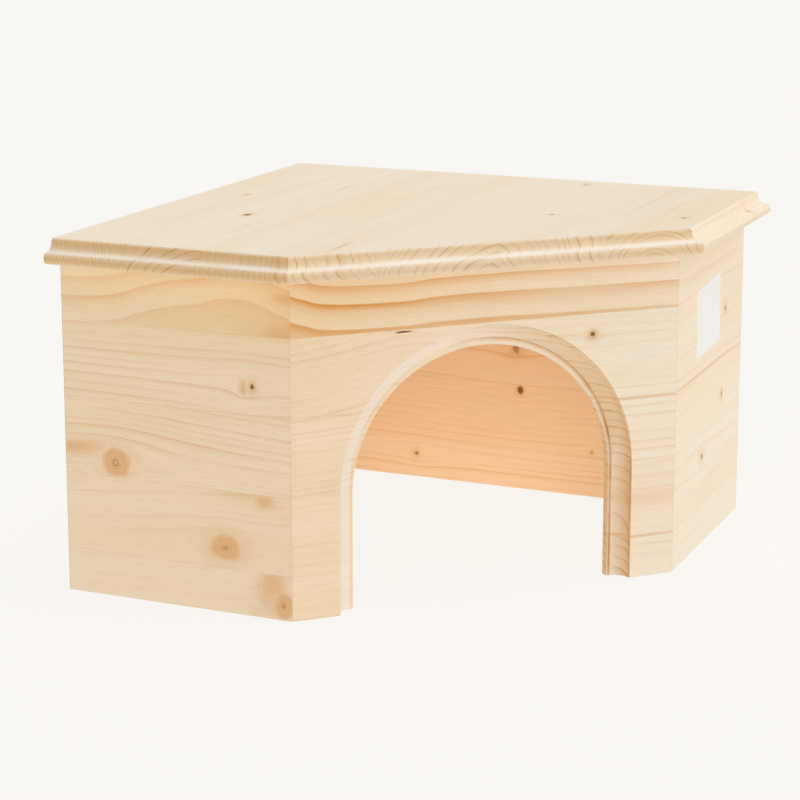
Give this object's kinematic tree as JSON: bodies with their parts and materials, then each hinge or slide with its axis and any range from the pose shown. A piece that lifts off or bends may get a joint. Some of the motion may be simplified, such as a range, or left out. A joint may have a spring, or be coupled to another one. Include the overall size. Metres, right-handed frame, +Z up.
{
  "type": "rabbit corner house",
  "caption": "Bottomless wooden corner hutch for a rabbit: mitred stave walls on a cut-corner plan, a coved arched doorway and a flat roof board with a moulded edge.",
  "frame": {"origin": "centre of the bounding box of the house, at floor level", "axes": "+Z up; the doorway faces -Y; the square back corner points to +Y; +X is to the right of someone facing +Y"},
  "size_m": [0.536, 0.391, 0.24],
  "materials": {
    "spruce": "planed and sanded, untreated",
    "beech": "plain"
  },
  "bodies": {
    "root": {"left_back_stave_1": "spruce", "left_back_stave_2": "spruce", "left_back_stave_3": "spruce", "left_back_stave_4": "spruce", "left_back_stave_5": "spruce", "right_back_stave_1": "spruce", "right_back_stave_2": "spruce", "right_back_stave_3": "spruce", "right_back_stave_4": "spruce", "right_back_stave_5": "spruce", "left_side_stave_1": "spruce", "left_side_stave_2": "spruce", "left_side_stave_3": "spruce", "left_side_stave_4": "spruce", "left_side_stave_5": "spruce", "right_side_stave_1": "spruce", "right_side_stave_2": "spruce", "right_side_stave_3": "spruce", "right_side_stave_4": "spruce", "right_side_stave_5": "spruce", "front_left_stave_1": "spruce", "front_left_stave_2": "spruce", "front_left_stave_3": "spruce", "front_right_stave_1": "spruce", "front_right_stave_2": "spruce", "front_right_stave_3": "spruce", "front_arch_stave": "spruce", "front_top_stave": "spruce", "roof_stave_1": "spruce", "roof_stave_2": "spruce", "roof_stave_3": "spruce", "roof_stave_4": "spruce", "roof_stave_5": "spruce", "roof_stave_6": "spruce", "roof_stave_7": "spruce", "mitre_biscuits": "beech", "roof_dowels": "beech"}
  },
  "joints": []
}
